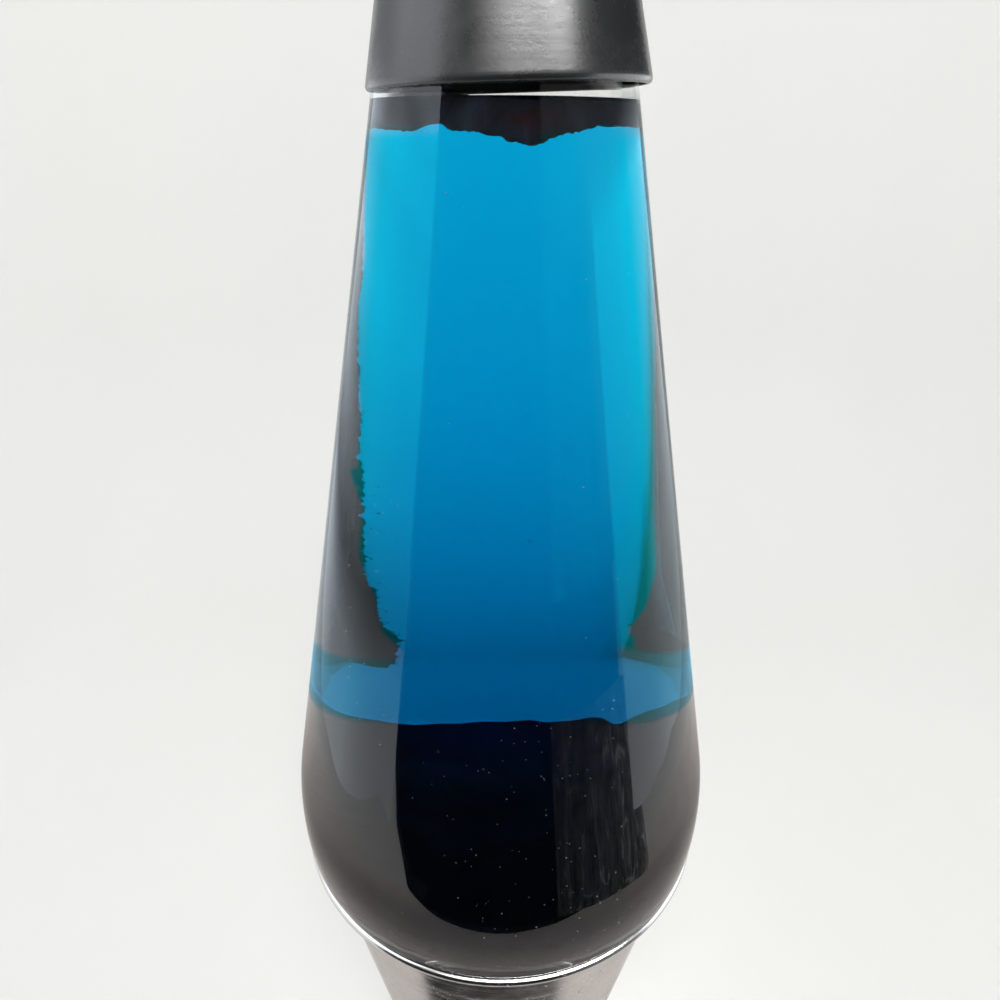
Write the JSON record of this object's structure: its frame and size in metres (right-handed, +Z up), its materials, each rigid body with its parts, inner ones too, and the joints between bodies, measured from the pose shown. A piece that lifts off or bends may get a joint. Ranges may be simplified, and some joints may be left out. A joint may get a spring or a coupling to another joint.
{
  "type": "liquid motion lamp",
  "caption": "Lamp with a conical glass globe of dyed liquid and wax that lifts out of an hourglass metal base over a screw-in bulb, under a lift-off cap.",
  "frame": {"origin": "middle of the foot, on the table", "axes": "+Z up along the lamp's axis, -Y the front that the picture shows, cord inlet towards +Y"},
  "size_m": [0.1154, 0.1154, 0.4313],
  "materials": {
    "aluminium_polished": "polished",
    "grommet_rubber": "matte",
    "cover_fibre": "matte",
    "pad_rubber": "matte",
    "plated_steel": "zinc plated",
    "rivet_aluminium": "as formed",
    "socket_phenolic": "moulded",
    "socket_brass": "pressed",
    "contact_brass": "pressed",
    "screw_brass": "machined",
    "screw_steel": "zinc plated",
    "solder": "soldered",
    "black_glass": "fused",
    "bulb_brass": "pressed",
    "bulb_clear_glass": "clear",
    "stem_glass": "clear",
    "lead_wire": "drawn",
    "tungsten": "coiled",
    "clear_glass": "clear",
    "tinplate": "pressed",
    "liner": "matte",
    "spring_wire": "drawn",
    "black_wax": "satin",
    "blue_liquid": "clear dyed",
    "cap_black_paint": "satin"
  },
  "bodies": {
    "base": {"base_upper_cone": "aluminium_polished", "base_lower_cone": "aluminium_polished", "cord_grommet": "grommet_rubber", "bottom_cover": "cover_fibre", "foot_pads": "pad_rubber", "socket_bracket": "plated_steel", "waist_rivets": "rivet_aluminium", "socket_body": "socket_phenolic", "socket_shell": "socket_brass", "centre_contact": "contact_brass", "terminal_screws": "screw_brass", "socket_screws": "screw_steel"},
    "bulb_tip": {"bulb_tip_contact": "solder"},
    "bulb": {"bulb_insulator": "black_glass", "bulb_screw_shell": "bulb_brass", "bulb_glass": "bulb_clear_glass", "bulb_stem": "stem_glass", "bulb_leads": "lead_wire", "bulb_filament": "tungsten"},
    "globe": {"globe_glass": "clear_glass", "crown_closure": "tinplate", "closure_liner": "liner", "wire_coil": "spring_wire", "wax_mass": "black_wax", "wax_slab": "black_wax", "wax_film_left": "black_wax", "wax_film_right": "black_wax", "liquid": "blue_liquid"},
    "cap": {"top_cap": "cap_black_paint"}
  },
  "joints": [
    {"name": "globe_lift_out", "type": "slide", "parent": "base", "child": "globe", "axis": [0, 0, 1], "range_m": [0, 0.085]},
    {"name": "cap_lift_off", "type": "slide", "parent": "globe", "child": "cap", "axis": [0, 0, 1], "range_m": [0, 0.05]},
    {"name": "bulb_unscrew_rise", "type": "slide", "parent": "base", "child": "bulb_tip", "axis": [0, 0, 1], "range_m": [0, 0.01129]},
    {"name": "bulb_unscrew_turn", "type": "hinge", "parent": "bulb_tip", "child": "bulb", "pos_m": [0, 0, 0.0216], "axis": [0, 0, 1], "range_deg": [0, 1440]}
  ],
  "couplings": [
    {"joint": "bulb_unscrew_turn", "follows": "bulb_unscrew_rise", "rad_per_m": 2226.5}
  ]
}
